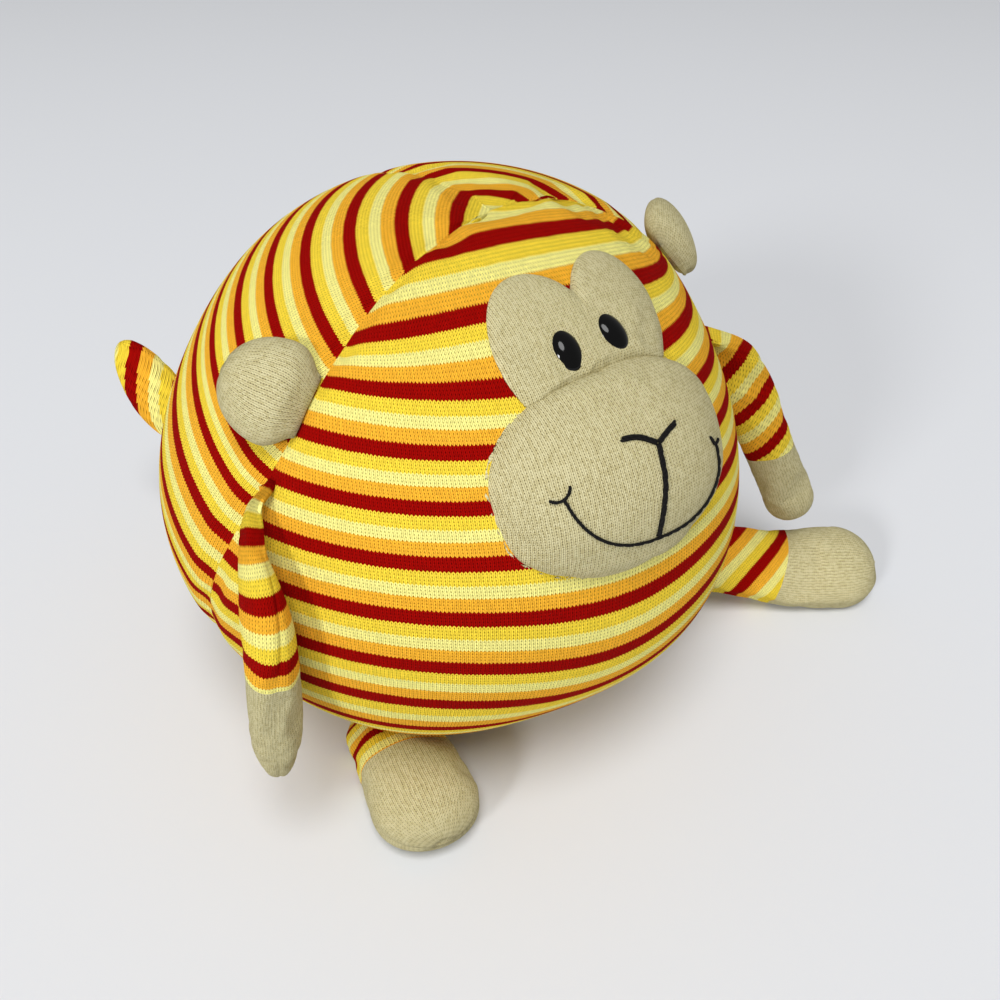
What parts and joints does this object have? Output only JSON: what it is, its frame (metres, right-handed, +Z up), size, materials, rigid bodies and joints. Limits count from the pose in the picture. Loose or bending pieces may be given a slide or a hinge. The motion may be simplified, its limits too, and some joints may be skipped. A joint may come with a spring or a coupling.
{
  "type": "plush monkey",
  "caption": "Ball-shaped plush monkey in striped knit with a stuffed muzzle, glossy safety eyes, and ears, arms, legs and a tail sewn into its seams.",
  "frame": {"origin": "middle of the pressed-flat base, on the surface it sits on", "axes": "+Z up; the face looks along -Y; +X is the monkey's own left"},
  "size_m": [0.3332, 0.3357, 0.2348],
  "materials": {
    "striped_knit": "jersey knit in red, orange, pale yellow and yellow stripes",
    "plain_knit": "plain beige jersey knit",
    "filling": "loose polyester fibre",
    "eye": "polished black",
    "washer": "moulded white",
    "thread": "black embroidery thread"
  },
  "bodies": {
    "body": {"body_front_panel": "striped_knit", "body_back_right_panel": "striped_knit", "body_back_left_panel": "striped_knit", "body_filling": "filling", "eye_patch": "plain_knit", "muzzle_cover": "plain_knit", "muzzle_filling": "filling", "eye_right": "eye", "eye_right_washer": "washer", "eye_left": "eye", "eye_left_washer": "washer", "nose_embroidery": "thread", "smile_embroidery": "thread"},
    "ear_right": {"ear_right_front": "plain_knit", "ear_right_back": "plain_knit", "ear_right_filling": "filling"},
    "ear_left": {"ear_left_front": "plain_knit", "ear_left_back": "plain_knit", "ear_left_filling": "filling"},
    "arm_right": {"arm_right_sleeve_outer": "striped_knit", "arm_right_sleeve_inner": "striped_knit", "paw_right_outer": "plain_knit", "paw_right_inner": "plain_knit", "arm_right_filling": "filling"},
    "arm_left": {"arm_left_sleeve_outer": "striped_knit", "arm_left_sleeve_inner": "striped_knit", "paw_left_outer": "plain_knit", "paw_left_inner": "plain_knit", "arm_left_filling": "filling"},
    "leg_right": {"leg_right_sleeve_top": "striped_knit", "leg_right_sleeve_sole": "striped_knit", "foot_right_top": "plain_knit", "foot_right_sole": "plain_knit", "leg_right_filling": "filling"},
    "leg_left": {"leg_left_sleeve_top": "striped_knit", "leg_left_sleeve_sole": "striped_knit", "foot_left_top": "plain_knit", "foot_left_sole": "plain_knit", "leg_left_filling": "filling"},
    "tail": {"tail_outer": "striped_knit", "tail_inner": "striped_knit", "tail_filling": "filling"}
  },
  "joints": [
    {"name": "ear_right_bend", "type": "hinge", "parent": "body", "child": "ear_right", "pos_m": [-0.08868, -0.03583, 0.19378], "axis": [0.6506, 0.1501, 0.7444], "range_deg": [0, 45], "stiffness_Nm_per_rad": 0.01},
    {"name": "ear_left_bend", "type": "hinge", "parent": "body", "child": "ear_left", "pos_m": [0.08801, -0.03556, 0.19316], "axis": [0.6506, -0.1501, -0.7444], "range_deg": [0, 45], "stiffness_Nm_per_rad": 0.01},
    {"name": "arm_right_lift", "type": "hinge", "parent": "body", "child": "arm_right", "pos_m": [-0.1072, -0.03902, 0.16631], "axis": [-0.342, 0.9397, 0], "range_deg": [0, 85]},
    {"name": "arm_left_lift", "type": "hinge", "parent": "body", "child": "arm_left", "pos_m": [0.11351, -0.03255, 0.1498], "axis": [-0.2756, -0.9613, 0], "range_deg": [0, 80]},
    {"name": "leg_right_drop", "type": "hinge", "parent": "body", "child": "leg_right", "pos_m": [-0.06155, -0.01085, 0.00384], "axis": [-0.9703, 0.2419, 0], "range_deg": [-60, 0]},
    {"name": "leg_left_drop", "type": "hinge", "parent": "body", "child": "leg_left", "pos_m": [0.09724, -0.03539, 0.04239], "axis": [-0.5779, -0.8161, 0], "range_deg": [-45, 0]},
    {"name": "tail_swing", "type": "hinge", "parent": "body", "child": "tail", "pos_m": [0, 0.12235, 0.08776], "axis": [0, -0.2329, -0.9725], "range_deg": [0, 100], "stiffness_Nm_per_rad": 0.03}
  ]
}
